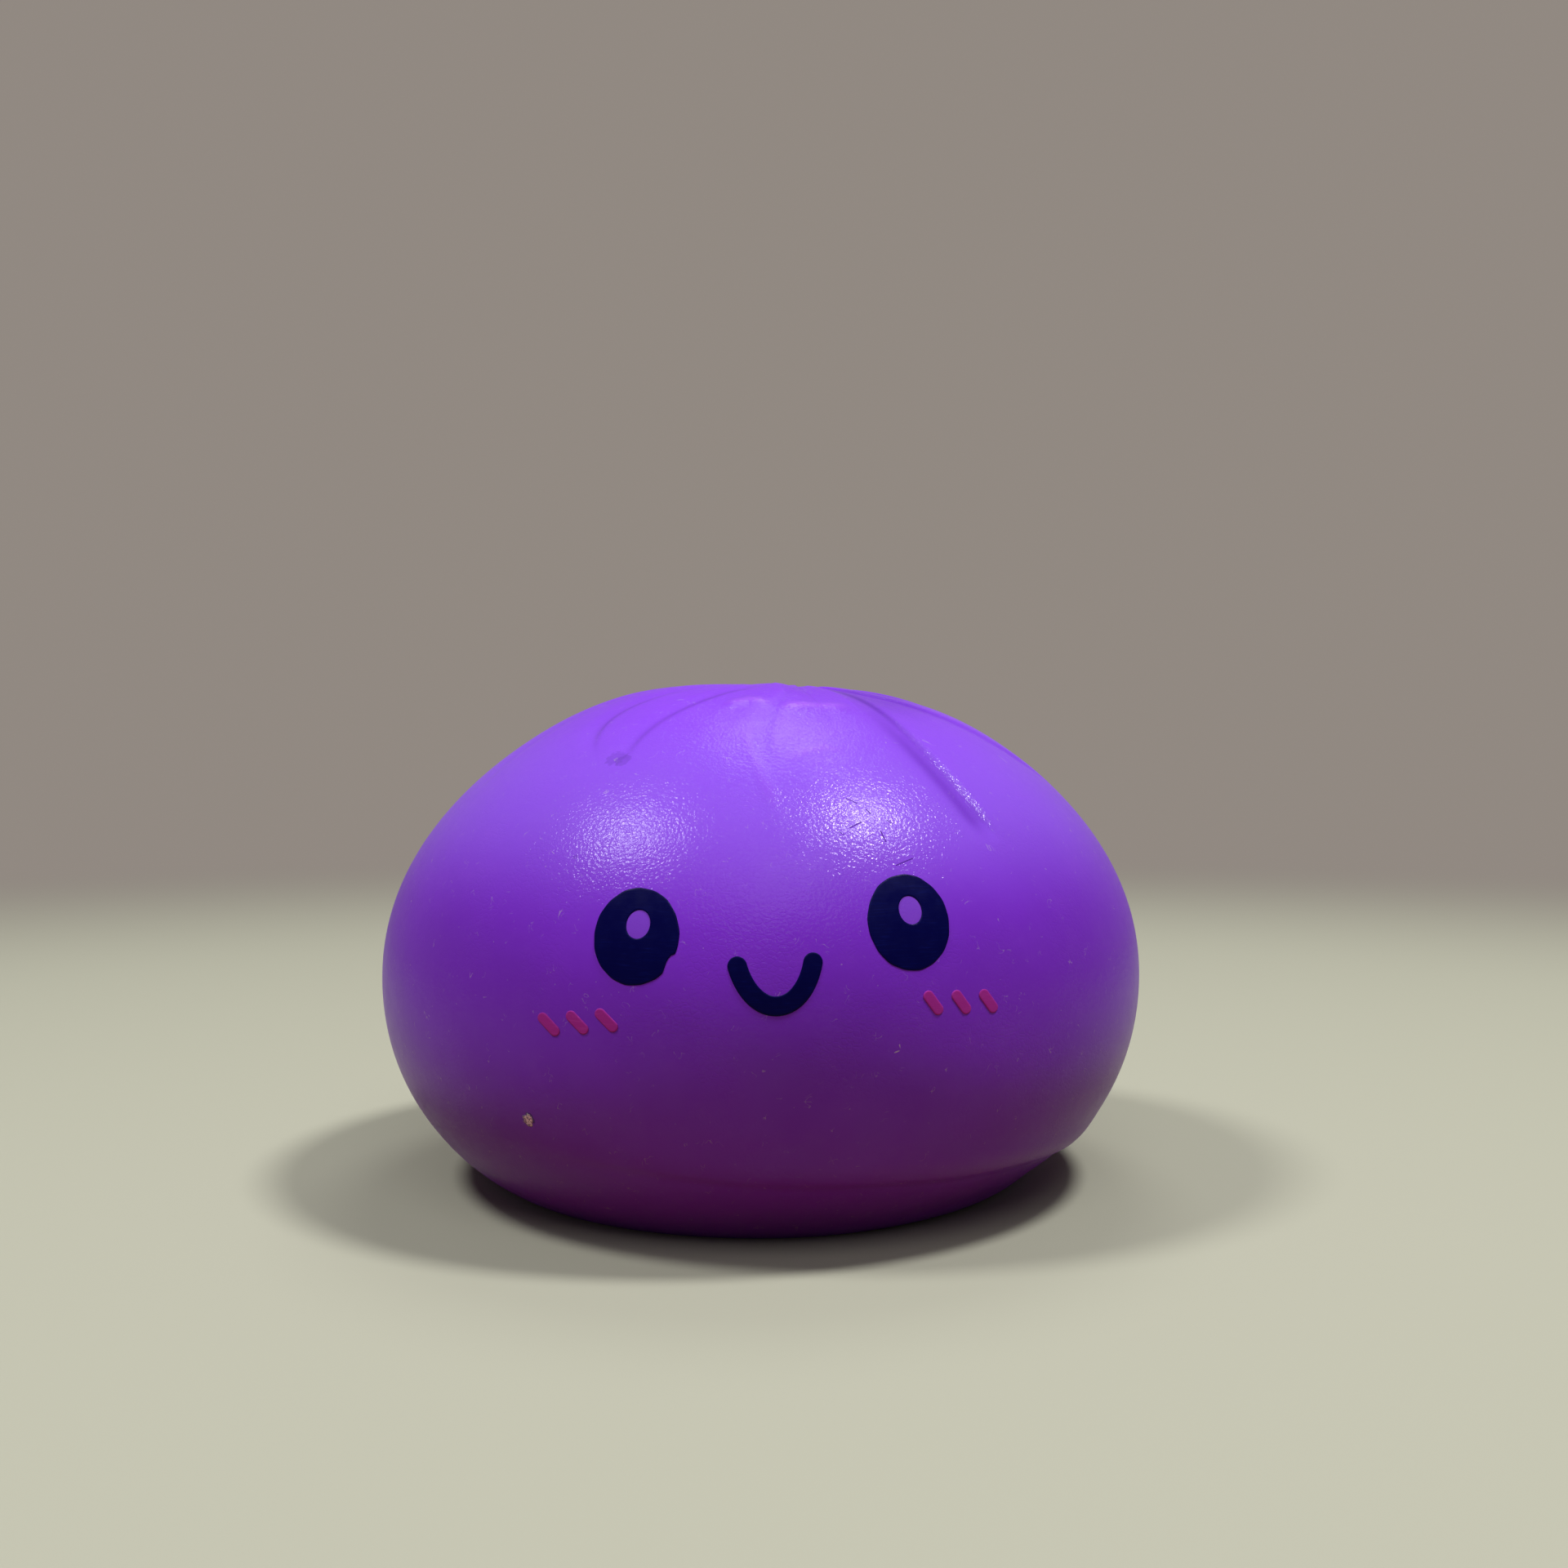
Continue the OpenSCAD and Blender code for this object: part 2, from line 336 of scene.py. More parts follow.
def lineMask(place, start, end, width):
    # 1 near the straight line from start to end, and 0 further off than half the width
    run = end - start
    out = vector("SUBTRACT", place, start)[0]
    share = vector("DOT_PRODUCT", out, run / (run @ run))["Value"]
    share = times(share, 1.0, clamp=True)
    foot = scaled(tuple(float(v) for v in run), share)
    gap = vector("DISTANCE", out, foot)["Value"]
    return between(gap, width * 0.5, width * 0.25)


# The body's outline

body = dict(
    widestHeight=40,     # height of the widest ring
    crownLevel=0.49,     # how far the crown reaches out level, share of the half width
    crownBend=0.2,       # where it starts to bend down, share of the half width
    shoulderFull=0.82,   # share of the height above the widest ring
    bellyUpright=0.73,   # share of the height below it
    baseWidth=102,
    baseRoll=0.5,
    pitWidth=25,         # the soft hollow where the pleats gather
)

halfWidth, crownHeight = skinHigh[0], skinHigh[2]
pitDepth = crownHeight - knotLow[2]


def traceOutline():
    # Two smooth curves that meet at the widest ring. The middle of the crown sinks by the
    # pit's depth times (1 - (radius / pit radius) squared) squared.
    half, top, wide = halfWidth, crownHeight, body["widestHeight"]
    base = body["baseWidth"] / 2
    t = np.linspace(0, 1, 3000)
    crown = bezier([(0, top), (body["crownLevel"] * half, top), (body["crownBend"] * half, top),
                    (half, wide + body["shoulderFull"] * (top - wide)), (half, wide)], t)
    belly = bezier([(half, wide), (half, wide * (1 - body["bellyUpright"])),
                    (base + body["baseRoll"], 0), (base, 0)], t)
    line = np.concatenate([crown, belly[1:]])
    inPit = np.clip(1 - (line[:, 0] / (body["pitWidth"] / 2)) ** 2, 0, 1)
    line[:, 1] -= pitDepth * inPit ** 2
    run = np.concatenate([[0], np.cumsum(np.linalg.norm(np.diff(line, axis=0), axis=1))])
    along = np.gradient(line, run, axis=0)
    along /= np.linalg.norm(along, axis=1)[:, None]
    normal = np.stack([-along[:, 1], along[:, 0]], -1)
    return run, line, normal


outlineRun, outlineLine, outlineNormal = traceOutline()
outlineEnd = outlineRun[-1]


def onOutline(run):
    # radius, height and the outward direction at a distance along the outline
    return [np.interp(run, outlineRun, column) for column in (*outlineLine.T, *outlineNormal.T)]


# Pleats, creases and dents of the skin

skinShape = dict(
    thickness=2.6,
    frontStep=0.4,       # degrees between the mesh's columns at the front
    backStep=0.75,
    frontEdges=(-105, -80, 90, 115),     # azimuths where one passes into the other
    crownRun=32,         # how far from the middle the crown's rows go, along the skin
    crownRows=70,
    sideRows=205,
    wallRows=60,
    # A pleat's azimuths at three distances from the middle, its depth, the share that it has
    # near the middle, how far out it ends and over what length it fades. Going right, the skin
    # falls over its soft side, rises over its crisp side, and stands proud by the lip. line is
    # how much painted shade darkens its crease near the middle, and flank how much painted
    # shade darkens its soft side further out.
    stations=(25, 37, 50),
    growFrom=30,         # distances between which it grows to its full depth
    growTo=54,
    frontPleats=[
        dict(at=(35.5, 33.4, 33.3), depth=0.42, inner=0.15, end=66, fade=4,
             soft=7, crisp=2.8, lip=0.06, lipWidth=2.6, line=0.8, flank=0.5),
        dict(at=(11.5, 1.7, -1.2), depth=0.15, inner=0.1, end=56, fade=9,
             soft=5, crisp=1.8, lip=0.03, lipWidth=2, line=0.12, flank=0.1),
        dict(at=(-9, -25.1, -29.8), depth=0.34, inner=0.8, end=54, fade=8,
             soft=5, crisp=1.3, lip=0.06, lipWidth=2, line=0.6, flank=0.0),
        dict(at=(-34, -45.3, -38.5), depth=0.34, inner=0.8, end=52, fade=10,
             soft=5.5, crisp=1.5, lip=0.06, lipWidth=2, line=0.6, flank=0.0),
        dict(at=(-58, -65, -68), depth=0.42, inner=0.7, end=60, fade=10,
             soft=6, crisp=1.8, lip=0.08, lipWidth=2.5, line=0.35, flank=0.1),
        dict(at=(55, 62, 70), depth=0.45, inner=0.7, end=60, fade=10,
             soft=6, crisp=1.9, lip=0.1, lipWidth=2.5, line=0.35, flank=0.1),
    ],
    backPleats=10,
    backFrom=84,         # azimuth at the crest of the first and of the last of them
    backTo=284,
    gatherDepth=1.0,     # how deep every pleat is where they gather
    gatherFrom=21,
    gatherTo=11,
    twist=85,            # degrees that they wind up by towards the middle
    twistFrom=26,
    # how the crown rises and sinks round its crest, and over what distance from the middle
    crestAt=(-100, -60, -30, -14, -9, 0, 6, 11, 16, 22, 28, 34, 45, 70, 110),
    crestRise=(-0.3, -0.35, -0.25, -0.1, -0.25, 0.1, 0.3, 0.0, -0.5, -0.35, -0.25, -0.8, -1.2,
               -1.2, -0.3),
    crestMiddle=25,
    crestReach=13,
    # faint rolls of the skin: azimuths, distances from the middle, height, width and how
    # pale a painted highlight along them makes them
    rolls=[
        dict(at=(1, 11, 27), reach=(37, 36, 35.5), rise=0.45, width=1.9, paintedGleam=0.9),
        dict(at=(-14, -6, 2), reach=(35.4, 33.4, 34.5), rise=0.4, width=1.7, paintedGleam=0.8),
        dict(at=(2, 7, 11, 14, 16), reach=(52.2, 50, 49, 49.6, 51.5), rise=0.08,
             width=1.1, paintedGleam=0.35),
        dict(at=(-7, -4.5, -1.5, 2), reach=(46, 49, 56.5, 60), rise=0.1, width=3, paintedGleam=0.15),
    ],
    # the crease above the base: azimuths, heights and strengths
    creaseAt=(-45, -26, -16, -5, 6, 18, 26, 33, 39, 46, 55, 68, 84, 110),
    creaseHeight=(17, 15.9, 14.7, 13.4, 12.7, 12.3, 11.6, 11.2, 11.0, 10.6, 9.9, 8.6, 7.2, 6),
    creaseStrength=(0, 0.15, 0.25, 0.3, 0.35, 0.45, 0.6, 0.75, 0.9, 1.0, 1.0, 0.9, 0.6, 0),
    creaseStep=0.7,
    creaseGroove=0.25,
    creaseSwell=0.3,
    liftAt=(10, 35, 60, 85, 115),
    liftBy=(0, 0.5, 0.8, 0.5, 0),
    unevenness=0.12,
)


def allPleats():
    # the pleats at the back: evenly spaced, each a little different from the next
    count = skinShape["backPleats"]
    order = np.arange(count)
    crest = np.linspace(skinShape["backFrom"], skinShape["backTo"], count)
    crest = crest + 2.6 * np.sin(order * 2.3)
    lean = 6 * np.sin(np.radians(crest)) - 5 + 3 * np.sin(order * 1.7 + 1)
    pleats = list(skinShape["frontPleats"])
    for i in order:
        strength = 0.55 + 0.45 * math.sin(i * 2.9 + 0.6) ** 2
        pleats.append(dict(
            at=(crest[i], crest[i] + lean[i], crest[i] + 1.6 * lean[i]), depth=0.75 * strength,
            inner=0.6, end=55 + 9 * math.sin(i * 1.3) ** 2, fade=7, soft=7, crisp=2.3,
            lip=0.12 * strength, lipWidth=3, line=0.3, flank=0.15))
    return pleats


def turnFrom(azimuth, middle):
    # difference of two azimuths, between -180 and 180
    return (azimuth - middle + 180) % 360 - 180


def pleatRelief(azimuth, radius):
    # A pleat's azimuth is the parabola through its three stations, plus a twist that grows
    # as the square of the way in. Across it, both sides are smooth steps, the lip is a bell
    # just past the crisp side and the shades are bells on the crisp and the soft side.
    shape = skinShape
    wound = shape["twist"] * np.clip(1 - radius / shape["twistFrom"], 0, 1) ** 2
    gathered = 1 - smoothStep(shape["gatherTo"], shape["gatherFrom"], radius)
    inner, middle, outer = shape["stations"]
    narrowing = np.clip(radius / inner, 0.12, 1)
    reached = np.clip(radius, inner - 3, 66)
    shares = [(reached - middle) * (reached - outer) / ((inner - middle) * (inner - outer)),
              (reached - inner) * (reached - outer) / ((middle - inner) * (middle - outer)),
              (reached - inner) * (reached - middle) / ((outer - inner) * (outer - middle))]
    grown = smoothStep(shape["growFrom"], shape["growTo"], radius)
    relief, shade = 0, 0
    for pleat in allPleats():
        line = sum(share * at for share, at in zip(shares, pleat["at"])) + wound
        across = radius * np.radians(turnFrom(azimuth, line))
        soft = pleat["soft"] * narrowing * (1 - 0.3 * gathered)
        crisp = pleat["crisp"] * (1 + gathered) * narrowing
        groove = np.where(across < 0, 1 - smoothStep(0, soft, -across),
                          1 - smoothStep(0, crisp, across))
        lip = bell(across, crisp + 0.5 * pleat["lipWidth"] * narrowing,
                   pleat["lipWidth"] * narrowing)
        fade = 1 - smoothStep(pleat["end"] - pleat["fade"], pleat["end"], radius)
        own = pleat["inner"] + (1 - pleat["inner"]) * grown
        depth = pleat["depth"] * own * (1 - gathered) + shape["gatherDepth"] * gathered
        relief = relief + fade * (own * pleat["lip"] * lip - depth * groove)
        # painted shade: a dark line along the crease near the middle and a dark band over the
        # soft side further out
        narrow = pleat["line"] * (1 - 0.6 * grown) * bell(across, 0.35 * crisp, 1.0)
        broad = pleat["flank"] * grown * bell(across, -0.3 * soft, 0.25 * soft)
        shade = shade + fade * (narrow + broad)
    # the pleats run out at the very middle, under the knot
    return relief * smoothStep(1.5, 8, radius), shade * smoothStep(12, 24, radius)


def crestRelief(azimuth, radius):
    # the crest's rise and fall is a bell across the ring, and a roll is a bell across its
    # own line that fades out at the line's ends
    turn = turnFrom(azimuth, 0)
    rise = np.interp(turn, skinShape["crestAt"], skinShape["crestRise"])
    relief = rise * bell(radius, skinShape["crestMiddle"], skinShape["crestReach"])
    paintedGleam = 0
    for roll in skinShape["rolls"]:
        ends = roll["at"]
        length = ends[-1] - ends[0]
        seen = window(turn, ends[0], ends[0] + 0.3 * length, ends[-1] - 0.3 * length, ends[-1])
        line = np.interp(turn, ends, roll["reach"])
        relief = relief + roll["rise"] * seen * bell(radius, line, roll["width"])
        # painted highlight: a pale band along each roll's line, later stored as negative shade
        paintedGleam = paintedGleam + roll["paintedGleam"] * seen * bell(radius, line, 0.7 * roll["width"])
    return relief, paintedGleam


def creaseRelief(azimuth, height):
    # above the crease the skin swells a little, and below it the skin steps in
    shape = skinShape
    turn = turnFrom(azimuth, 0)
    level = np.interp(turn, shape["creaseAt"], shape["creaseHeight"])
    strength = np.interp(turn, shape["creaseAt"], shape["creaseStrength"])
    up = height - level
    return strength * (shape["creaseSwell"] * bell(up, 3.0, 2.6)
                       - shape["creaseGroove"] * bell(up, -0.3, 0.8)
                       - shape["creaseStep"] * (1 - smoothStep(-1.2, 0.9, up))
                       * smoothStep(0, 4, height))


def unevenness(azimuth, height):
    # slow waves round the ball and up it, faded out at the base
    turn = np.radians(azimuth)
    waves = (np.sin(3 * turn + 0.7 + height / 31) + 0.7 * np.sin(5 * turn - height / 17)
             + 0.5 * np.sin(2 * turn + height / 9))
    return skinShape["unevenness"] * waves * smoothStep(2, 14, height)


def baseLift(azimuth, radius, height):
    # how far the rim of the base stands off the table
    turn = turnFrom(azimuth, 0)
    lift = np.interp(turn, skinShape["liftAt"], skinShape["liftBy"])
    return lift * smoothStep(40, 52, radius) * (1 - smoothStep(2, 15, height))


def skinRelief(azimuth, radius, height):
    # how far the skin stands off its outline, and how much painted shade darkens it, or below 0
    # how much a painted highlight lightens it
    pleats, shade = pleatRelief(azimuth, radius)
    crest, paintedGleam = crestRelief(azimuth, radius)
    above = smoothStep(45, 55, height)
    relief = ((pleats + crest) * above
              + creaseRelief(azimuth, height) * (1 - smoothStep(20, 26, height))
              + unevenness(azimuth, height))
    return relief, (shade - paintedGleam) * above


def skinSurface(azimuth, run, out=0.0):
    # a point of the outer surface, or out millimetres off it: the outline's point moved
    # along its normal by the relief, then turned to its azimuth
    radius, height, outward, upward = onOutline(run)
    relief, shade = skinRelief(azimuth, radius, height)
    r = radius + (relief + out) * outward
    z = height + (relief + out) * upward + baseLift(azimuth, radius, height)
    angle = np.radians(azimuth)
    return np.stack([r * np.sin(angle), -r * np.cos(angle), z], -1), relief, shade


# Skin

neck = dict(
    floor=4.6,           # thickness of the skin's floor
    top=9.6,             # height of the top of the neck
    hole=5.0,            # radius of the filling hole
    outside=8.2,         # radius of the neck
    gap=0.05,            # between the plug or the disc and what it sits in
    headThickness=1.4,   # of the plug
    dish=30.0,           # radius of the shallow dish
    dishSlope=0.8,
    cornerRound=0.3,
    rowGap=2.2,
)


def undersideOutline():
    # from the rim of the base inwards over the flat, the dish, the recesses for the disc and
    # the plug's head, up through the hole, down the outside of the neck and out to the wall
    sealRadius, headRadius = sealHigh[0] + neck["gap"], plugHigh[0] + neck["gap"]
    dishTop, sealTop = sealLow[2], sealHigh[2]
    headTop = sealTop + neck["headThickness"]
    wall = innerWall()[0]
    corners = [(body["baseWidth"] / 2, 0), (neck["dish"] + neck["dishSlope"], 0),
               (neck["dish"], dishTop), (sealRadius, dishTop), (sealRadius, sealTop),
               (headRadius, sealTop), (headRadius, headTop), (neck["hole"], headTop),
               (neck["hole"], neck["top"]), (neck["outside"], neck["top"]),
               (neck["outside"], neck["floor"]), (wall[0], neck["floor"]), tuple(wall)]
    return spaced(roundCorners(corners, neck["cornerRound"]), neck["rowGap"])[1:-1]


def innerWall(out=0.0):
    # the wall of the cavity from its floor up to the middle of the crown: the outline moved
    # inwards by the skin's thickness, and cut off level with the floor
    run = np.linspace(outlineEnd, 0, 1200)
    radius, height, outward, upward = onOutline(run)
    depth = skinShape["thickness"] - out
    line = np.stack([radius - depth * outward, height - depth * upward], -1)
    line[-1, 0] = 0
    above = np.argmax(line[:, 1] > neck["floor"] - out)
    rows = np.linspace(0, len(line) - above - 1, skinShape["wallRows"])
    return line[above:][rows.astype(int)]


def skinAzimuths():
    # closer together at the front, and easing into the wider step round the back
    turn = np.linspace(-180, 180, 3601)
    front = window(turn, *skinShape["frontEdges"])
    gap = skinShape["backStep"] + (skinShape["frontStep"] - skinShape["backStep"]) * front
    count = np.concatenate([[0], np.cumsum(0.1 / gap[1:])])
    columns = int(count[-1])
    return np.interp(np.arange(columns) * count[-1] / columns, count, turn)


def makeSkin(material):
    azimuths = skinAzimuths()
    crownRun = skinShape["crownRun"]
    runs = np.concatenate([np.linspace(0, crownRun, skinShape["crownRows"]),
                           np.linspace(crownRun, outlineEnd, skinShape["sideRows"])[1:]])
    outer, relief, shade = skinSurface(azimuths[None, :], runs[:, None])
    under = turned(undersideOutline(), azimuths)
    radius = np.hypot(under[..., 0], under[..., 1])
    under[..., 2] += baseLift(azimuths[None, :], radius, 0 * radius) * (under[..., 2] < 2)
    inner = turned(innerWall(), azimuths)
    points = np.concatenate([outer, under, inner])
    mesh = gridMesh("skin", points)
    hidden = np.zeros((len(under) + len(inner), len(azimuths)))
    storeValues(mesh, "relief", np.concatenate([relief, hidden]))
    storeValues(mesh, "shade", np.concatenate([shade, hidden]))
    piece = addPiece("soft_skin", mesh, "body", "skin", material)
    return piece


# Knot

knotShape = dict(
    # the outline's control points: share of the radius, and height from the top or the foot
    fromTop=[(0, -1.3), (0.35, -1.5), (0.45, 0.9), (1.12, 0.3)],
    fromFoot=[(0.98, 0.6), (1.05, 0)],
    lobes=8,
    lobeDepth=0.11,      # share of the radius
    lobeRise=0.55,
    lobeSharpness=0.7,
    twist=70,            # degrees from its foot to its top
    reliefShown=1.6,     # how strongly painted shade darkens the hollows between the lobes and a painted highlight makes the lobes paler
    rows=50,
    columns=160,
)


def makeKnot(material):
    # the outline is a button with a dimple; its radius swells and shrinks with the lobes,
    # which turn with height
    radius, low, high = knotHigh[0], knotLow[2], knotHigh[2]
    controls = ([(share * radius, high + up) for share, up in knotShape["fromTop"]]
                + [(share * radius, low + up) for share, up in knotShape["fromFoot"]])
    outline = bezier(controls, np.linspace(0, 1, knotShape["rows"]))
    outline = np.concatenate([outline, [(0.5 * radius, low), (0, low)]])
    azimuths = np.linspace(0, 360, knotShape["columns"], endpoint=False)
    points = turned(outline, azimuths)
    up = (outline[:, 1] - low) / (high - low)
    share = outline[:, 0] / radius
    turn = azimuths[None, :] - knotShape["twist"] * (up - 0.4 * (1 - share))[:, None]
    sharp = knotShape["lobeSharpness"]
    wave = np.abs(np.sin(np.radians(turn) * knotShape["lobes"] / 2)) ** sharp - sharp
    swell = wave * smoothStep(0.05, 0.6, share)[:, None]
    points[..., :2] *= 1 + (knotShape["lobeDepth"] * swell)[..., None]
    points[..., 2] += knotShape["lobeRise"] * swell * smoothStep(0.3, 1, up)[:, None]
    reach = np.hypot(points[..., 0], points[..., 1]).max()
    points[..., :2] *= min(1, radius / reach)
    points[..., 2] = np.minimum(points[..., 2], high)
    mesh = gridMesh("gathered_knot", points)
    # painted shade and painted highlight: the skin's material darkens the hollows and pales the
    # lobes by this value
    storeValues(mesh, "relief", knotShape["reliefShown"] * swell)
    return addPiece("gathered_knot", mesh, "crown", "crown_knot", material)


# Filling, plug and disc

fillingShape = dict(
    gap=0.15,            # to the wall
    neckGap=0.1,         # to the floor, the neck and the plug
    lumps=0.9,
    rowGap=2.5,
    columns=180,
)
plugShape = dict(
    groove=(1.2, 1.5, 5.2, 5.5, 6.3, 6.6),   # radii of the ring marks in its face
    marks=(0.25, 0.3),   # how deep they are
    barb=6.2,
    barbEdge=0.5,
    tip=3.0,
    cornerRound=0.28,
    rowGap=0.8,
    columns=96,
)
sealShape = dict(
    rimWidth=(2.2, 1.7),
    rimDepth=0.12,
    ripple=0.04,
    cornerRound=0.2,
    rowGap=0.7,
    columns=120,
)


def makeFilling(material):
    # the cavity's outline a little smaller, sunk further in by slow lumps
    wall = innerWall(-fillingShape["gap"])[::-1]
    gap = fillingShape["neckGap"]
    floor, neckTop, barbTop = neck["floor"] + gap, neck["top"] + gap, plugHigh[2] + gap
    neckRadius = neck["outside"] + gap
    barbRadius = plugHigh[0] * 0.73 + gap
    corners = np.concatenate([wall, [(wall[-1, 0], floor), (neckRadius, floor),
                                     (neckRadius, neckTop), (barbRadius, neckTop),
                                     (barbRadius, barbTop), (0, barbTop)]])
    outline = spaced(corners, fillingShape["rowGap"])
    azimuths = np.linspace(0, 360, fillingShape["columns"], endpoint=False)
    points = turned(outline, azimuths)
    turn = np.radians(azimuths)[None, :]
    z = outline[:, 1, None]
    lumps = (np.sin(4 * turn + z / 7) * np.sin(z / 5 + 2 * turn)
             + np.sin(9 * turn - z / 6) * 0.5 + 1.5) / 3
    rim = smoothStep(20, 34, outline[:, 0])[:, None] * smoothStep(floor, floor + 6, z)
    points[..., :2] *= 1 - (fillingShape["lumps"] * lumps * rim / halfWidth)[..., None]
    return addPiece("dough_filling", gridMesh("dough_filling", points), "body",
                    "filling", material)


def makePlug(material):
    # turned from one outline: a head with a shallow ring in its face, a shank and a barb
    head, low, top = plugHigh[0], plugLow[2], plugHigh[2]
    shank = neck["hole"] - neck["gap"]
    neckTop = neck["top"] + neck["gap"]
    headTop, barb = low + neck["headThickness"], plugShape["barb"]
    pit, ring = low + plugShape["marks"][0], low + plugShape["marks"][1]
    heights = (pit, low, low, ring, ring, low)
    corners = [(0, pit), *zip(plugShape["groove"], heights), (head, low), (head, headTop),
               (shank, headTop), (shank, neckTop), (barb, neckTop),
               (barb, neckTop + plugShape["barbEdge"]), (plugShape["tip"], top), (0, top)]
    outline = spaced(roundCorners(corners, plugShape["cornerRound"]), plugShape["rowGap"])
    points = turned(outline, np.linspace(0, 360, plugShape["columns"], endpoint=False))
    return addPiece("push_in_plug", gridMesh("push_in_plug", points), "body",
                    "filler_plug", material)


def makeSeal(material):
    # a thin disc whose edge is rounded and whose face ripples by a few hundredths
    radius, low, high = sealHigh[0], sealLow[2], sealHigh[2]
    rimFrom, rimTo = sealShape["rimWidth"]
    sunk = low + sealShape["rimDepth"]
    corners = [(0, sunk), (radius - rimFrom, sunk), (radius - rimTo, low),
               (radius, low), (radius, high), (0, high)]
    outline = spaced(roundCorners(corners, sealShape["cornerRound"]), sealShape["rowGap"])
    azimuths = np.linspace(0, 360, sealShape["columns"], endpoint=False)
    points = turned(outline, azimuths)
    turn = np.radians(azimuths)[None, :]
    ripple = sealShape["ripple"] * (np.sin(3 * turn + outline[:, 0, None] / 2) + 1)
    inner = (outline[:, 0] < radius - 2) & (outline[:, 1] < high - 0.2)
    points[..., 2] += ripple * inner[:, None]
    return addPiece("glued_disc", gridMesh("glued_disc", points), "body",
                    "plug_seal", material)


# Printed face

face = dict(
    roll=2.7,            # degrees that the whole print is turned
    filmLift=0.01,       # how far the films start off the skin
    filmThickness=0.13,
    edgeRound=0.22,      # how far in from its edge a film reaches its full thickness
    eyeWidth=13.4,
    eyeHeight=15.2,
    eyeLean=22,          # how far each eye leans towards the middle, degrees
    glintWidth=3.7,
    glintHeight=4.5,
    glintAt=(0.3, 1.9),  # from the middle of the eye
    nickFrom=1,          # where the left eye's ink is chipped away, degrees round it
    nickTo=-28,
    nickDepth=0.095,     # share of the eye's radius
    mouthWidth=11.9,
    mouthDrop=6.4,
    mouthArc=70,         # how far round its oval the mouth runs to either side
    mouthStroke=3.1,
    strokeLength=2.7,
    strokeWidth=1.8,
    strokeSlope=51.5,
    cheekFan=5.2,        # how far each cheek droops outwards
    eyeColumns=300,
    strokeRows=90,
)

sideRun = outlineRun[outlineRun > 20]       # the outline without the level top
sideHeight = np.interp(sideRun, outlineRun, outlineLine[:, 1])


def onFront(x, z, out):
    # the point of the skin's front that is seen at (x, z), moved off the skin by out
    run = np.interp(-z, -sideHeight, sideRun)
    radius = np.interp(run, outlineRun, outlineLine[:, 0])
    azimuth = np.degrees(np.arcsin(np.clip(x / radius, -1, 1)))
    return skinSurface(azimuth, run, out)[0]


def overAndUnder(line):
    # values across a film's top and the same back underneath, and 1 on top and 0 below
    top = np.concatenate([np.ones(len(line)), np.zeros(len(line) - 2)])
    return np.concatenate([line, line[-2:0:-1]])[None, :], top[None, :]


def filmPoints(x, z, inset, onTop):
    # quarter-round edge: full thickness past edgeRound from the film's edge
    share = np.clip(inset / face["edgeRound"], 0, 1)
    height = face["filmLift"] + face["filmThickness"] * np.sqrt(1 - (1 - share) ** 2)
    return onFront(x, z, np.where(onTop > 0, height, face["filmLift"]))


def rolled(x, z, degrees):
    c, s = math.cos(math.radians(degrees)), math.sin(math.radians(degrees))
    return x * c - z * s, x * s + z * c


def makeEye(name, node, side, material):
    # A ring between two ovals. The first parameter goes round it, the second goes across its
    # top from the inner oval to the outer one and back underneath.
    centre = middleOf(node)
    angle = np.linspace(0, 2 * np.pi, face["eyeColumns"], endpoint=False)[:, None]
    share, onTop = overAndUnder(0.5 - 0.5 * np.cos(np.linspace(0, np.pi, 26)))
    wobble = 1 + 0.004 * np.sin(7 * angle + side) + 0.003 * np.sin(17 * angle)
    if side < 0:
        start, end = math.radians(face["nickTo"]), math.radians(face["nickFrom"])
        turn = (angle + np.pi) % (2 * np.pi) - np.pi
        inNick = window(turn, start, start + 0.2, end - 0.1, end)
        wobble = wobble - face["nickDepth"] * inNick * (0.9 + 0.1 * np.sin(turn * 23))
    lean = side * face["eyeLean"]
    shiftX, shiftZ = rolled(*face["glintAt"], -lean)
    glint = np.stack([shiftX + face["glintWidth"] / 2 * np.cos(angle),
                      shiftZ + face["glintHeight"] / 2 * np.sin(angle)])
    outer = np.stack([face["eyeWidth"] / 2 * np.cos(angle),
                      face["eyeHeight"] / 2 * np.sin(angle)]) * wobble
    x, z = glint + (outer - glint) * share
    width = np.linalg.norm(outer - glint, axis=0)
    inset = np.minimum(share, 1 - share) * width
    x, z = rolled(x, z, lean)
    points = filmPoints(centre[0] + x, centre[2] + z, inset, onTop)
    return addPiece(name, gridMesh(name, points, ring=True), "body", node, material)


def makeStroke(name, node, line, width, material):
    # A flat film along a line of (x, z) points. The first parameter runs along it, past each
    # end by half the width, where it narrows as a half circle does. The second goes across
    # its top and back underneath.
    steps = np.linalg.norm(np.diff(line, axis=0), axis=1)
    length = steps.sum()
    half = width / 2
    run = np.concatenate([[0], np.cumsum(steps)])
    t = 0.5 - 0.5 * np.cos(np.linspace(0, np.pi, face["strokeRows"]))
    at = -half + (length + width) * t
    inside = np.clip(at, 0, length)
    past = at - inside
    centre = np.stack([np.interp(inside, run, column) for column in line.T], -1)
    heading = np.gradient(line, run, axis=0)
    heading = np.stack([np.interp(inside, run, column) for column in heading.T], -1)
    heading /= np.linalg.norm(heading, axis=1)[:, None]
    centre = centre + past[:, None] * heading
    reach = np.sqrt(np.clip(half ** 2 - past ** 2, 0, None))[:, None]
    share, onTop = overAndUnder(np.cos(np.linspace(0, np.pi, 16)))
    x = centre[:, :1] - heading[:, 1:] * share * reach
    z = centre[:, 1:] + heading[:, :1] * share * reach
    inset = half - np.hypot(share * reach, past[:, None])
    points = filmPoints(x, z, inset, onTop)
    return addPiece(name, gridMesh(name, points), "body", node, material)


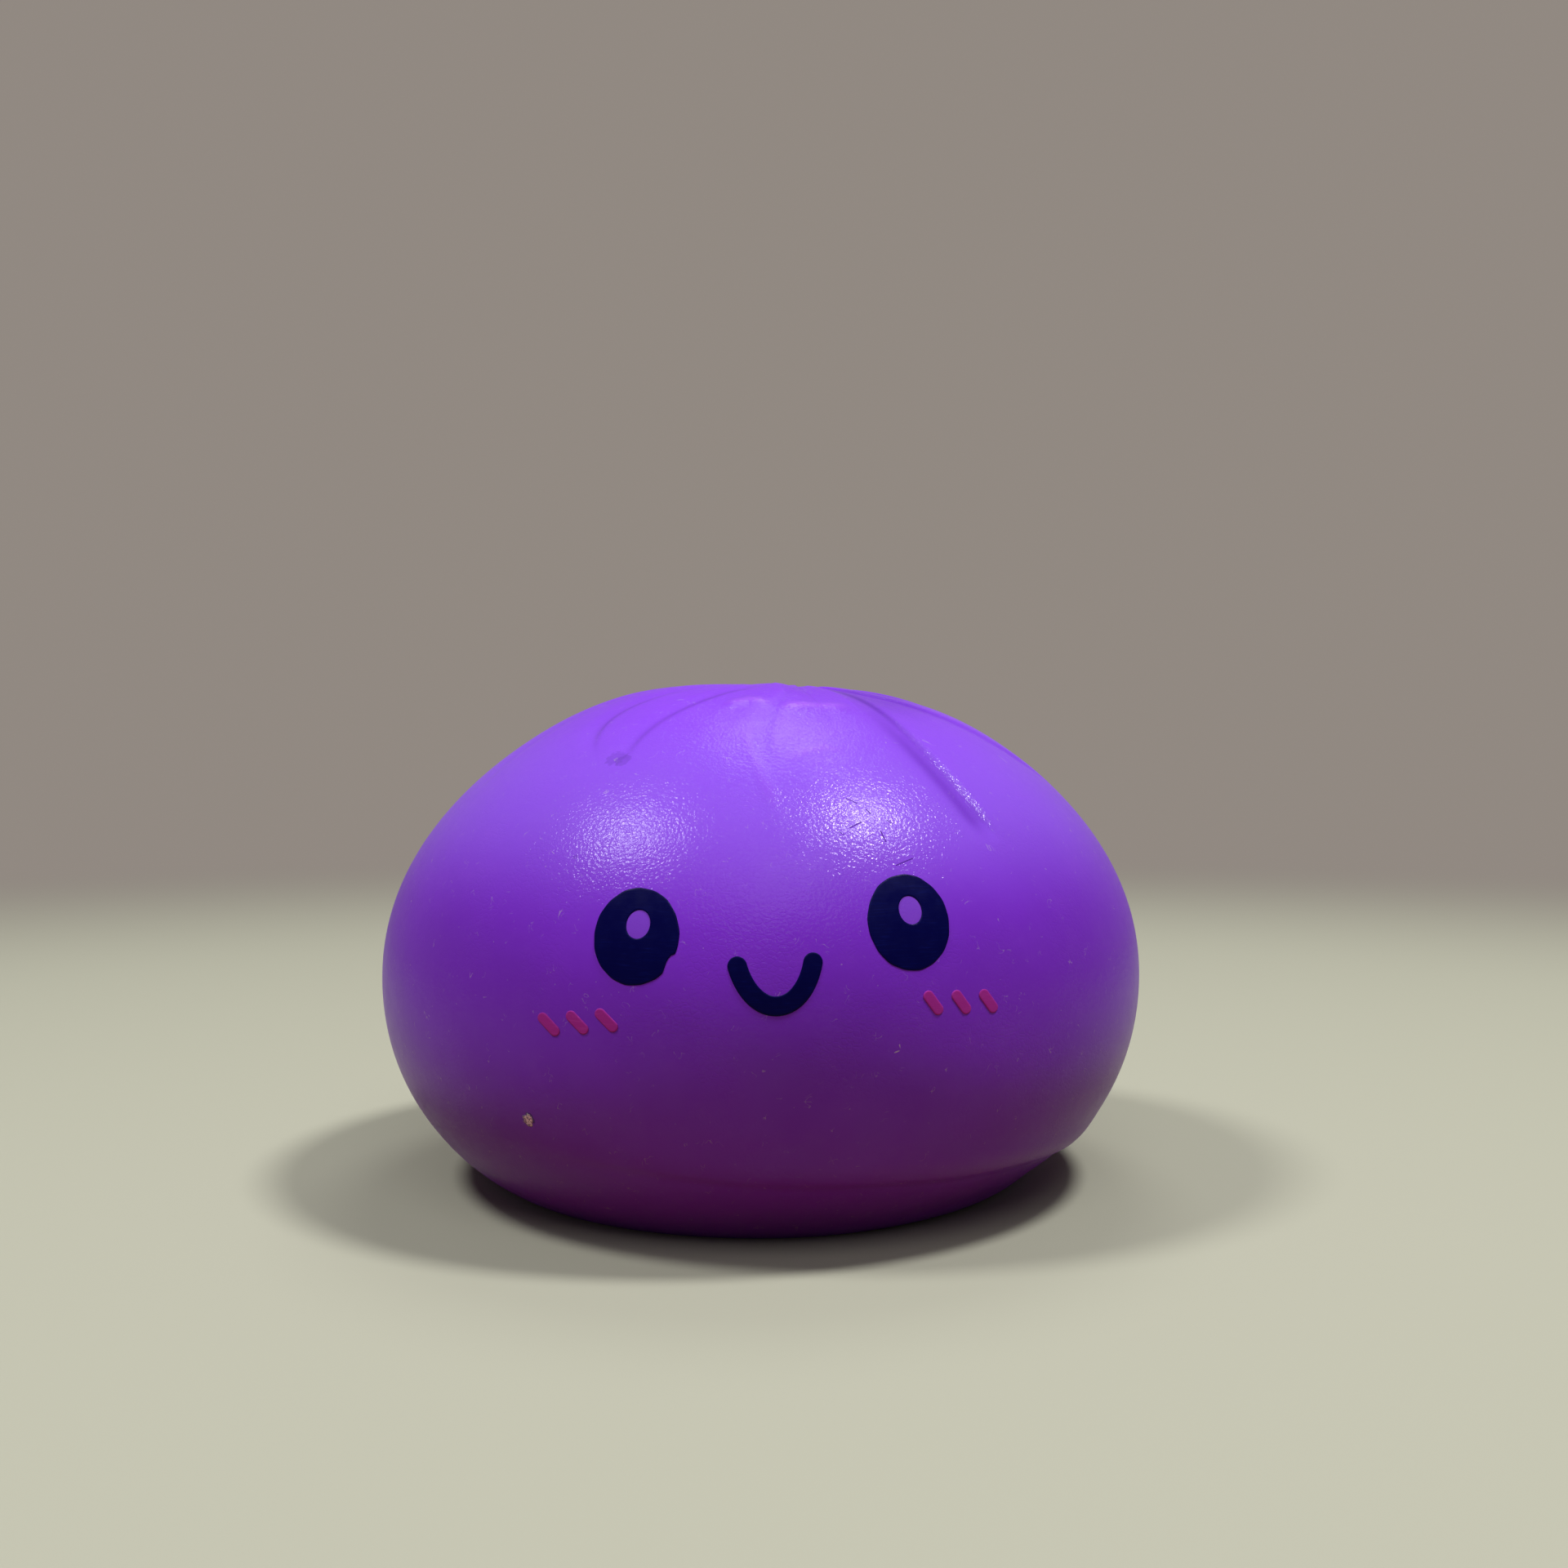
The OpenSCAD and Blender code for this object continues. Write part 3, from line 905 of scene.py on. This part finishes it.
def makeMouth(material):
    # the lower part of an oval, turned with the whole print
    centre = middleOf("mouth_print")
    half, drop = face["mouthWidth"] / 2, face["mouthDrop"]
    arc = math.radians(face["mouthArc"])
    angle = np.linspace(-arc, arc, 80)
    fall = (np.cos(angle) - math.cos(arc)) / (1 - math.cos(arc))
    x, z = rolled(half * np.sin(angle) / math.sin(arc), drop * (0.5 - fall), face["roll"])
    line = np.stack([centre[0] + x, centre[2] + z], -1)
    return makeStroke("mouth_ink", "mouth_print", line, face["mouthStroke"],
                      material)


def makeBlush(node, material):
    centre = middleOf(node)
    fan = face["cheekFan"] if "left" in node else -face["cheekFan"]
    slope = math.radians(face["roll"] + fan - face["strokeSlope"])
    run = np.linspace(-0.5, 0.5, 12)[:, None] * face["strokeLength"]
    line = centre[[0, 2]] + run * np.array([math.cos(slope), math.sin(slope)])
    return makeStroke(node.replace("_blush", "_blush_ink"), node, line, face["strokeWidth"],
                      material)


# Materials

skinLook = dict(
    color=(0.225, 0.030, 0.70, 1),
    # deep: the color of the painted shade in folds and creases
    deep=(0.12, 0.012, 0.42, 1),
    haze=(0.22, 0.10, 0.55, 1),
    # pale: for random paler clouds, and for the painted highlight on what stands out and on the
    # rolls
    pale=(0.30, 0.075, 0.72, 1),
    # painted sheen: the whiter purple laid over the shoulder's band
    paintedSheen=(0.28, 0.12, 0.78, 1),
    paintedSheenBand=(54, 74, 77, 102),    # heights where the painted sheen on the shoulder comes and goes
    dust=(0.50, 0.38, 0.60, 1),
    crumb=(0.95, 0.86, 0.95, 1),
    # dark smudges, speckles and scratches, and also the crumb's painted shadow
    grimeAndShadow=(0.06, 0.015, 0.22, 1),
    # how far each of them covers the color below it
    paintedSheenShare=0.5,
    foldShare=0.5,
    raisedShare=0.2,
    paintedGleamShare=0.8,
    cloudShare=0.1,
    lintShare=0.42,
    smudgeShare=0.24,
    nickShare=0.45,
    hazeShare=0.3,
    hairlineShare=0.7,
    roughness=0.40,
    # sizes of the patterns, and heights or depths of what is felt, in millimetres
    broadSize=30,
    cloudSize=5,
    patchSize=9,
    grainSize=0.36,
    grainHeight=0.010,
    wrinkleHeight=0.008,
    waveSize=3.2,
    waveHeight=0.03,
    leatherSize=0.55,
    leatherHeight=0.13,
    crumbHeight=0.35,
    hairlineDepth=0.05,
    shine=(0.22, 0.34),  # weight of the thin coat, from dull to shiny patches
    shader={"Specular IOR Level": 0.06, "Subsurface Weight": 0.06,
            "Subsurface Radius": (0.8, 0.25, 1.0), "Subsurface Scale": 0.002,
            "Coat Roughness": 0.17},
    # marks of use, each placed by azimuth and height, with its size in millimetres
    crumbAt=(-34.2, 22.8, 2.5),
    curlAt=(14.9, 36.4, 1.1),
    smudges=[(-31.2, 82.4, 4.4), (-29.3, 82.0, 3.4), (-29.1, 66.1, 1.0)],
    paleNicks=[((59, 82.9), (58.9, 81.6), 0.28), ((-33.5, 66.8), (-33.0, 66.5), 0.2)],
    hairlines=[
        ((12.0, 75.7), (13.6, 74.9), 0.22),
        ((11.4, 71.0), (13.4, 71.9), 0.24),
        ((17.1, 65.0), (19.8, 66.0), 0.26),
        ((16.1, 70.3), (16.4, 68.8), 0.3),
        ((14.8, 73.9), (15.3, 73.2), 0.22),
        ((9.6, 70.4), (10.3, 69.9), 0.16),
        ((17.6, 72.2), (18.3, 71.7), 0.2),
    ],
)


def placed(azimuth, height):
    # the point of the skin at an azimuth and a height, in millimetres
    run = np.interp(-height, -sideHeight, sideRun)
    return skinSurface(np.array(float(azimuth)), run)[0]


def skinMaterial():
    look = skinLook
    material, shader = startMaterial("purple_rubber")
    place = millimetres()
    relief, shade = stored("relief"), stored("shade")

    broad = noise(place, look["broadSize"], 3)
    color = blendColor(between(broad, 0.3, 0.7), look["color"],
                       tuple(0.92 * c for c in look["color"][:3]) + (1,))
    # painted sheen: the shoulder is lighter and whiter in a band, standing in for the broad
    # soft reflection of the lamps
    level = addNode("ShaderNodeSeparateXYZ", None, {0: place}).outputs["Z"]
    low, rising, falling, high = look["paintedSheenBand"]
    shoulder = times(between(level, low, rising), between(level, high, falling))
    color = covered(color, shoulder, look["paintedSheenShare"], look["paintedSheen"])
    # painted shade darkens the folds and what the shade value marks, and a painted highlight
    # makes what stands out and the rolls paler
    folded = between(relief, -0.25, -1.2, 0, look["foldShare"])
    dark = calc("MAXIMUM", shade, 0.0)
    color = blendColor(plus(folded, dark, clamp=True), color, look["deep"])
    raised = between(relief, 0.12, 0.45, 0, look["raisedShare"])
    paintedGleam = times(shade, -look["paintedGleamShare"], clamp=True)
    color = blendColor(plus(raised, paintedGleam, clamp=True), color, look["pale"])
    cloudy = noise(place, look["cloudSize"], 6, 0.65)
    color = blendColor(between(cloudy, 0.5, 0.75, 0, look["cloudShare"]), color,
                       look["pale"])

    # lint: short curly threads, which are contour lines of a pattern, kept to sparse patches
    curls = noise(place, 1.7, 1, 0.5, 0.6)
    line = calc("ABSOLUTE", calc("SUBTRACT", curls, 0.5))
    thread = between(line, 0.010, 0.003)
    patch = between(noise(place, 2.0, 0), 0.70, 0.74)
    lint = times(thread, patch)
    lint = calc("MAXIMUM", lint, between(cells(place, 0.30), 0.035, 0.015))
    color = covered(color, lint, look["lintShare"], look["dust"])

    # dark smudges with ragged edges, and a few pale nicks
    ragged = times(calc("SUBTRACT", noise(place, 0.9, 3), 0.5), 3)
    for azimuth, height, size in look["smudges"]:
        spot = spotMask(place, placed(azimuth, height), size, ragged)
        color = covered(color, spot, look["smudgeShare"], look["grimeAndShadow"])
    for start, end, width in look["paleNicks"]:
        nick = lineMask(place, placed(*start), placed(*end), width)
        color = covered(color, nick, look["nickShare"], look["dust"])
    azimuth, height, size = look["curlAt"]
    middle = placed(azimuth, height)
    for start, end in (((-0.5, -0.5), (0.5, -0.2)), ((0.5, -0.2), (0.3, 0.6))):
        curl = lineMask(place, middle + size * np.array((start[0], 0, start[1])),
                        middle + size * np.array((end[0], 0, end[1])), 0.28)
        color = blendColor(curl, color, look["dust"])
    azimuth, height, size = look["crumbAt"]
    crumb = spotMask(place, placed(azimuth, height), size, ragged)
    crumbTint = noise(place, 0.35, 2)
    crumbColor = blendColor(between(crumbTint, 0.48, 0.56, 0, 0.7),
                            look["crumb"], look["grimeAndShadow"])
    # painted shadow: a dark spot set up and to the right of the crumb stands in for the shadow
    # it casts
    rim = spotMask(place, placed(azimuth + 0.35, height + 0.3), size, ragged)
    color = covered(color, rim, 0.8, look["grimeAndShadow"])
    color = blendColor(crumb, color, crumbColor)

    # the bare spots in the eyes, which the print has left a little hazy
    for node in ("left_eye_print", "right_eye_print"):
        x, z = middleOf(node)[[0, 2]] + face["glintAt"]
        hazy = spotMask(place, onFront(x, z, 0), 1.3 * face["glintHeight"], 0.0)
        color = covered(color, hazy, look["hazeShare"], look["haze"])

    # dark hairline scratches, which also cut into the surface
    scratched = 0.0
    for start, end, width in look["hairlines"]:
        hair = lineMask(place, placed(*start), placed(*end), width)
        scratched = calc("MAXIMUM", hair, scratched)
    color = covered(color, scratched, look["hairlineShare"], look["grimeAndShadow"])

    # roughness: satin, with shinier handled patches
    patchy = noise(place, look["patchSize"], 4, 0.6)
    rough = between(patchy, 0.3, 0.7, look["roughness"] - 0.05, look["roughness"] + 0.06)
    rough = plus(rough, times(crumb, 0.3))
    rough = plus(rough, times(scratched, 0.4))
    paint(shader, color, rough)

    # heights in millimetres: grain, a network of fine wrinkles, slow waves and the marks
    grain = times(noise(place, look["grainSize"], 3, 0.6), look["grainHeight"])
    edges = cells(stretched(place, (1, 1, 1.3)), 0.9, "DISTANCE_TO_EDGE")
    crackle = times(between(edges, 0.0, 0.16), between(noise(place, 11, 3), 0.42, 0.62))
    wrinkles = times(crackle, look["wrinkleHeight"])
    waves = times(noise(place, look["waveSize"]), look["waveHeight"])
    height = plus(plus(grain, wrinkles), waves)
    height = plus(height, times(crumb, look["crumbHeight"]))
    height = calc("SUBTRACT", height, times(scratched, look["hairlineDepth"]))
    bumped(height, shader)
    # the thin shine breaks up over a leathery grain, and is missing where it is scratched
    leather = times(noise(place, look["leatherSize"], 1.5), look["leatherHeight"])
    bumped(plus(height, leather), shader, "Coat Normal")
    shine = times(calc("SUBTRACT", 1.0, scratched),
                  between(patchy, 0.3, 0.7, *look["shine"]))
    link(shine, shader.inputs["Coat Weight"])
    setSockets(shader, look["shader"])
    return material


inkLook = dict(
    navy=dict(thick=(0.0004, 0.0005, 0.052, 1), thin=(0.002, 0.005, 0.11, 1),
              roughness=0.36),
    red=dict(thick=(0.42, 0.030, 0.34, 1), thin=(0.52, 0.06, 0.44, 1), roughness=0.45),
    streakSize=0.8,
    streakHeight=0.01,
    grainSize=0.4,
    grainHeight=0.006,
    shader={"Specular IOR Level": 0.06},
)


def inkMaterial(name):
    # ink with fine brushed streaks and pinholes, lighter where it is thin
    look = inkLook[name]
    material, shader = startMaterial(name + "_print")
    place = millimetres()
    patchy = noise(place, 3, 4, 0.6)
    streaks = noise(stretched(place, (0.25, 0.25, 3.5)), inkLook["streakSize"], 3, 0.6)
    share = times(between(streaks, 0.45, 0.8), between(patchy, 0.3, 0.8))
    color = blendColor(share, look["thick"], look["thin"])
    hole = between(cells(place, 0.5), 0.05, 0.03, 0, 0.5)
    color = blendColor(hole, color, look["thin"])
    paint(shader, color, between(patchy, 0.3, 0.7, look["roughness"] - 0.06,
                                 look["roughness"] + 0.08))
    grain = times(noise(place, inkLook["grainSize"]), inkLook["grainHeight"])
    bumped(plus(times(streaks, inkLook["streakHeight"]), grain), shader)
    setSockets(shader, inkLook["shader"])
    return material


# each mottle and grain is a pattern's size, detail and roughness
plainLooks = dict(
    dough=dict(
        name="soft_dough", mottle=(7, 5, 0.6), mottleFrom=0.35,
        grain=(2.5, 5, 0.6), grainHeight=0.3, dark=(0.72, 0.67, 0.56, 1),
        light=(0.80, 0.77, 0.69, 1), rough=(0.65, 0.85),
        shader={"Subsurface Weight": 0.1, "Subsurface Scale": 0.002}),
    plug=dict(
        name="plug_rubber", mottle=(2.5, 4, 0.5), mottleFrom=0.3,
        grain=(0.4, 2, 0.5), grainHeight=0.01, dark=(0.36, 0.32, 0.40, 1),
        light=(0.42, 0.38, 0.46, 1), rough=(0.5, 0.62)),
    disc=dict(
        name="milky_film", mottle=(4, 3, 0.5), mottleFrom=0.3,
        grain=(1.2, 3, 0.5), grainHeight=0.015, dark=(0.32, 0.20, 0.46, 1),
        light=(0.40, 0.28, 0.54, 1), rough=(0.22, 0.34)),
)


def plainMaterial(look):
    # two tones that change over in cloudy patches, and a fine grain
    material, shader = startMaterial(look["name"])
    place = millimetres()
    mottle = noise(place, *look["mottle"])
    color = blendColor(between(mottle, look["mottleFrom"], 0.7), look["dark"],
                       look["light"])
    paint(shader, color, between(mottle, 0.3, 0.7, *look["rough"]))
    bumped(times(noise(place, *look["grain"]), look["grainHeight"]), shader)
    setSockets(shader, look.get("shader", {}))
    return material


# Floor and light

studio = dict(
    floorSeen=(0.42, 0.41, 0.31, 1),
    floorBounce=(0.25, 0.10, 0.05, 1),   # what the ball receives from it
    floorShader={"Roughness": 0.85, "Specular IOR Level": 0.1},
    floorRadius=3.0,
    floorPoints=96,
    blendFrom=0.35,                      # where the floor starts to pass into the backdrop
    blendTo=1.0,
    backdrop=(0.285, 0.25, 0.222, 1),
    aimedAt=(0, 0, 0.05),
    ambient=(0.085, 0.08, 0.095, 1),
    lampColor=(0.94, 0.96, 1.0),
    lamps=[
        dict(name="right_lamp", at=(0.505, -0.16, 1.27), power=13, size=0.22),
        dict(name="left_lamp", at=(-0.67, -0.20, 1.19), power=9.2, size=0.28),
        dict(name="front_soft", at=(0.05, -0.85, 1.05), power=3, size=0.8),
        dict(name="rear_soft", at=(0.1, 0.5, 1.2), power=3, size=0.5),
    ],
)


def backdropRays():
    # 1 for what the camera sees, directly, in a reflection or through glass
    path = addNode("ShaderNodeLightPath").outputs
    seen = calc("MAXIMUM", path["Is Camera Ray"], path["Is Glossy Ray"])
    return calc("MAXIMUM", seen, path["Is Transmission Ray"])


def makeFloor():
    # a large disc: one middle point and a ring of points
    turn = np.linspace(0, 2 * np.pi, studio["floorPoints"], endpoint=False)
    ring = np.stack([np.cos(turn), np.sin(turn), 0 * turn], -1) * studio["floorRadius"]
    verts = np.concatenate([[(0, 0, 0)], ring])
    index = np.arange(1, len(verts))
    faces = np.stack([0 * index, index, np.roll(index, -1)], -1)
    mesh = bpy.data.meshes.new("floor")
    mesh.from_pydata(verts.tolist(), [], faces.tolist())
    floor = bpy.data.objects.new("floor", mesh)
    bpy.context.scene.collection.objects.link(floor)
    material, shader = startMaterial("pale_floor")
    seen = backdropRays()
    color = blendColor(seen, studio["floorBounce"], studio["floorSeen"])
    link(color, shader.inputs["Base Color"])
    setSockets(shader, studio["floorShader"])
    # far from the middle the floor passes into the backdrop's own color
    coord = addNode("ShaderNodeTexCoord")
    reach = addNode("ShaderNodeVectorMath", {"operation": "LENGTH"},
                    {0: coord.outputs["Object"]}).outputs["Value"]
    far = times(seen, between(reach, studio["blendFrom"], studio["blendTo"]))
    glow = addNode("ShaderNodeEmission", None,
                   {"Color": studio["backdrop"], "Strength": 1.0})
    mix = addNode("ShaderNodeMixShader", None,
                  {0: far, 1: shader.outputs[0], 2: glow.outputs[0]})
    output = nodeOf(material.node_tree, "OUTPUT_MATERIAL")
    link(mix.outputs[0], output.inputs["Surface"])
    mesh.materials.append(material)


def makeLight():
    for lamp in studio["lamps"]:
        data = bpy.data.lights.new(lamp["name"], "AREA")
        data.shape = "DISK"
        data.size = lamp["size"]
        data.energy = lamp["power"]
        data.color = studio["lampColor"]
        source = bpy.data.objects.new(lamp["name"], data)
        bpy.context.scene.collection.objects.link(source)
        source.location = lamp["at"]
        toBall = Vector(lamp["at"]) - Vector(studio["aimedAt"])
        source.rotation_euler = toBall.to_track_quat("Z", "Y").to_euler()
    world = bpy.data.worlds.new("room")
    world.use_nodes = True
    back = nodeOf(world.node_tree, "BACKGROUND")
    color = blendColor(backdropRays(), studio["ambient"], studio["backdrop"])
    link(color, back.inputs["Color"])
    bpy.context.scene.world = world


# Putting it together

navy = inkMaterial("navy")
red = inkMaterial("red")
rubber = skinMaterial()
print("materials made")

skin = makeSkin(rubber)
makeKnot(rubber)
print("skin and knot made")
filling = makeFilling(plainMaterial(plainLooks["dough"]))
makePlug(plainMaterial(plainLooks["plug"]))
makeSeal(plainMaterial(plainLooks["disc"]))
print("filling, plug and disc made")

prints = [makeEye("left_eye_ink", "left_eye_print", -1, navy),
          makeEye("right_eye_ink", "right_eye_print", 1, navy), makeMouth(navy)]
for side in ("left", "right"):
    for place in ("outer", "middle", "inner"):
        prints.append(makeBlush(side + "_blush_" + place, red))
print("printed face made")

for piece in [skin, filling] + prints:
    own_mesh(piece)

makeFloor()
makeLight()
bpy.context.scene.view_settings.view_transform = "Standard"
print("floor and light made")
